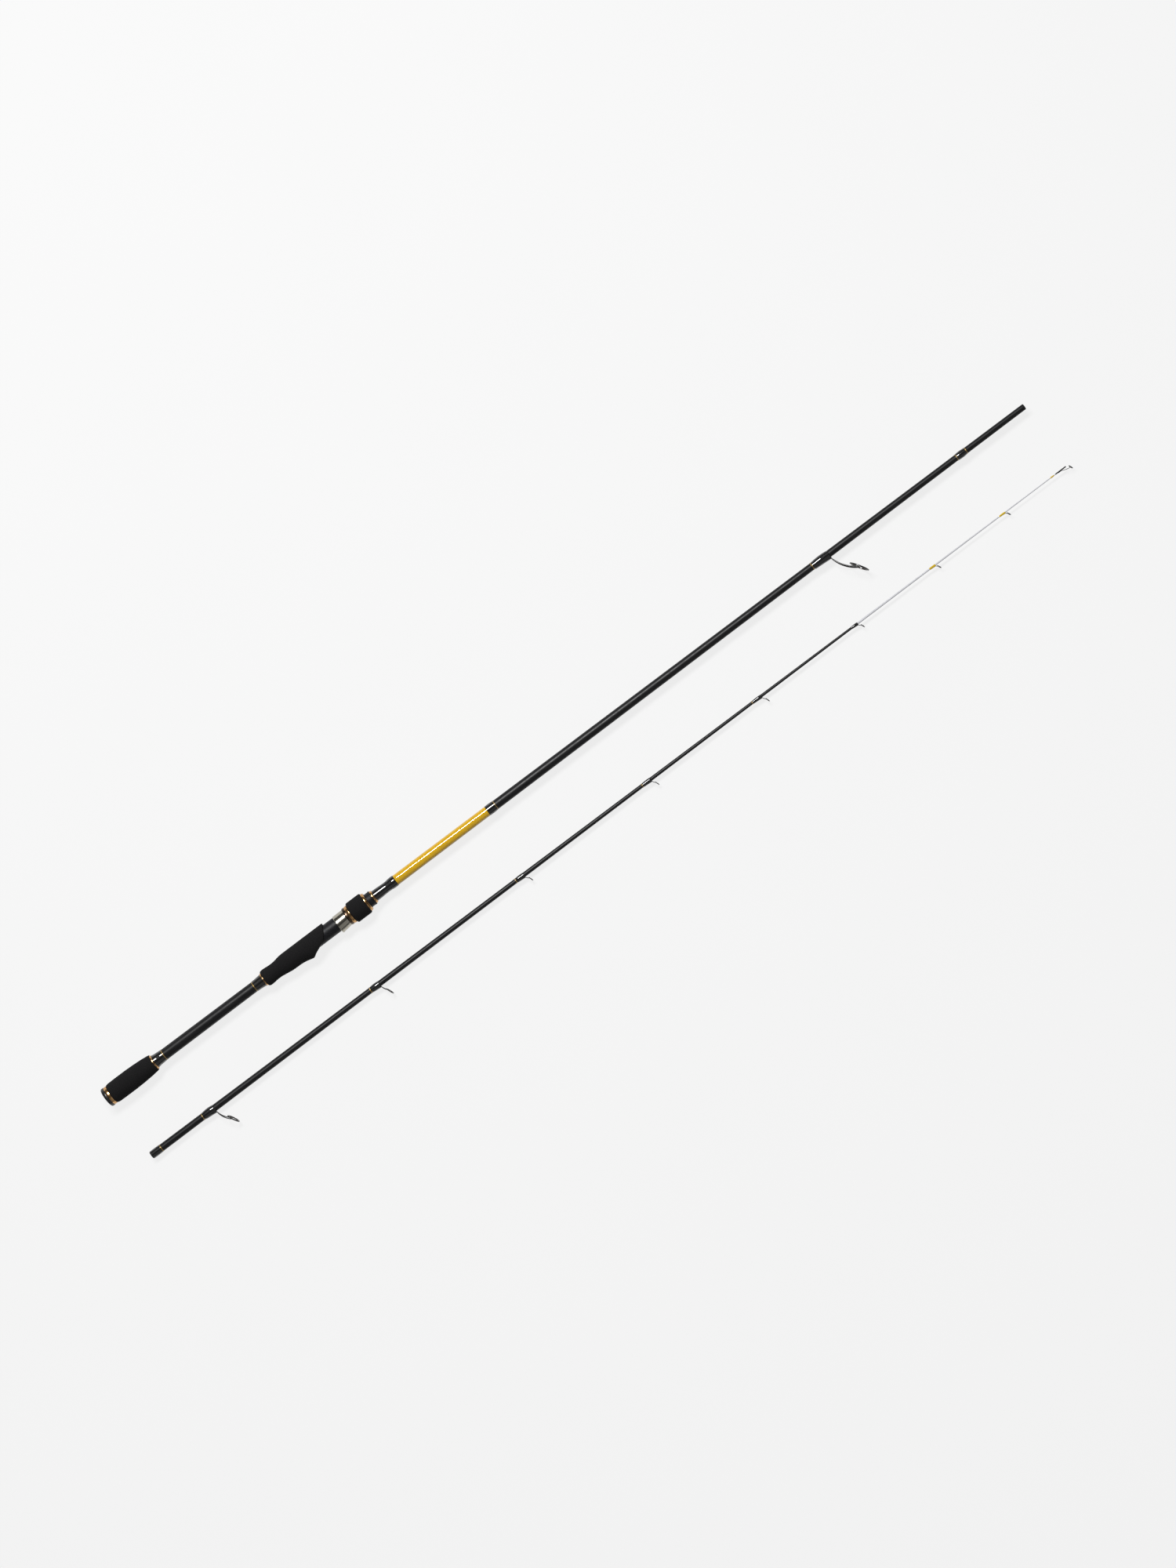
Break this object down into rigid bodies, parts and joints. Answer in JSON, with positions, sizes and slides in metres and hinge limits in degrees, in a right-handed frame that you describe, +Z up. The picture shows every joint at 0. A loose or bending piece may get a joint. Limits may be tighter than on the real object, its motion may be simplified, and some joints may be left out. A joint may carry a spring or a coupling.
{
  "type": "spinning rod",
  "caption": "Two-piece spinning rod with put-over ferrule, reel seat with sliding hood and lock nut, foam grips and leaning line guides, laid apart.",
  "frame": {"origin": "centre of the butt cap's end face, on the butt section's axis", "axes": "+X along both sections towards the tip, +Z up from the surface the rod lies on, guides and reel side of the seat towards -Y; the tip section lies beside the butt section at -Y"},
  "size_m": [1.2637, 0.1213, 0.0252],
  "materials": {
    "cap_rubber": "soft matte rubber",
    "eva_foam": "closed-cell EVA foam, fine matte grain",
    "gold_anodised": "gold anodised, polished",
    "gold_thread": "metallic thread under clear coat",
    "yellow_thread": "yellow thread under clear coat",
    "black_wrap": "black thread under glossy epoxy",
    "carbon_blank": "satin charcoal carbon",
    "solid_tip_white": "white lacquered solid glass",
    "yellow_lacquer": "glossy golden-yellow lacquer",
    "hood_steel": "brushed and polished",
    "dark_bronze": "dark bronze anodised",
    "seat_plastic": "black moulded, semi-gloss",
    "arbor_foam": "rigid foam",
    "guide_frame_black": "black coated stainless wire",
    "ring_ceramic": "polished dark ceramic"
  },
  "bodies": {
    "butt_section": {"band_end_wrap": "black_wrap", "butt_blank": "carbon_blank", "butt_cap": "cap_rubber", "butt_cap_ring": "gold_anodised", "butt_trim_bands": "gold_thread", "ferrule_plug": "arbor_foam", "ferrule_stop_wrap": "black_wrap", "fixed_hood": "seat_plastic", "fore_wrap": "black_wrap", "grip_wraps": "black_wrap", "main_grip": "eva_foam", "main_grip_ring": "gold_anodised", "rear_grip": "eva_foam", "rear_grip_ring": "gold_anodised", "reel_seat_body": "seat_plastic", "seat_arbors": "arbor_foam", "seat_collar": "seat_plastic", "stripper_frame": "guide_frame_black", "stripper_ring": "ring_ceramic", "stripper_wrap": "black_wrap", "winding_check": "gold_anodised", "yellow_band": "yellow_lacquer"},
    "sliding_hood": {"sliding_hood": "hood_steel", "hood_dark_ring": "dark_bronze", "hood_gold_ring": "gold_anodised"},
    "lock_nut": {"nut_core": "seat_plastic", "nut_grip": "eva_foam", "nut_ring": "gold_anodised"},
    "tip_section": {"guide_1_frame": "guide_frame_black", "guide_1_ring": "ring_ceramic", "guide_1_wrap": "black_wrap", "guide_2_frame": "guide_frame_black", "guide_2_ring": "ring_ceramic", "guide_2_wrap": "black_wrap", "guide_3_frame": "guide_frame_black", "guide_3_ring": "ring_ceramic", "guide_3_wrap": "black_wrap", "guide_4_frame": "guide_frame_black", "guide_4_ring": "ring_ceramic", "guide_4_wrap": "black_wrap", "guide_5_frame": "guide_frame_black", "guide_5_ring": "ring_ceramic", "guide_5_wrap": "black_wrap", "guide_6_frame": "guide_frame_black", "guide_6_ring": "ring_ceramic", "guide_6_wrap": "black_wrap", "guide_7_frame": "guide_frame_black", "guide_7_ring": "ring_ceramic", "guide_7_wrap": "yellow_thread", "guide_8_frame": "guide_frame_black", "guide_8_ring": "ring_ceramic", "guide_8_wrap": "yellow_thread", "solid_tip": "solid_tip_white", "tip_blank": "carbon_blank", "tip_ferrule": "carbon_blank", "tip_ferrule_wrap": "black_wrap", "tip_top_frame": "guide_frame_black", "tip_top_ring": "ring_ceramic", "tip_top_wrap": "yellow_thread", "tip_trim_bands": "gold_thread"}
  },
  "joints": [
    {"name": "hood_slide", "type": "slide", "parent": "butt_section", "child": "sliding_hood", "axis": [-1, 0, 0], "range_m": [0, 0.012]},
    {"name": "nut_turn", "type": "hinge", "parent": "sliding_hood", "child": "lock_nut", "pos_m": [0.3466, 0, 0], "axis": [-1, 0, 0], "range_deg": [0, 2880]},
    {"name": "tip_section_slide", "type": "slide", "parent": "butt_section", "child": "tip_section", "axis": [1, 0, 0], "range_m": [0, 0.0785]}
  ],
  "couplings": [
    {"joint": "hood_slide", "follows": "nut_turn", "m_per_rad": 0.00023873}
  ]
}
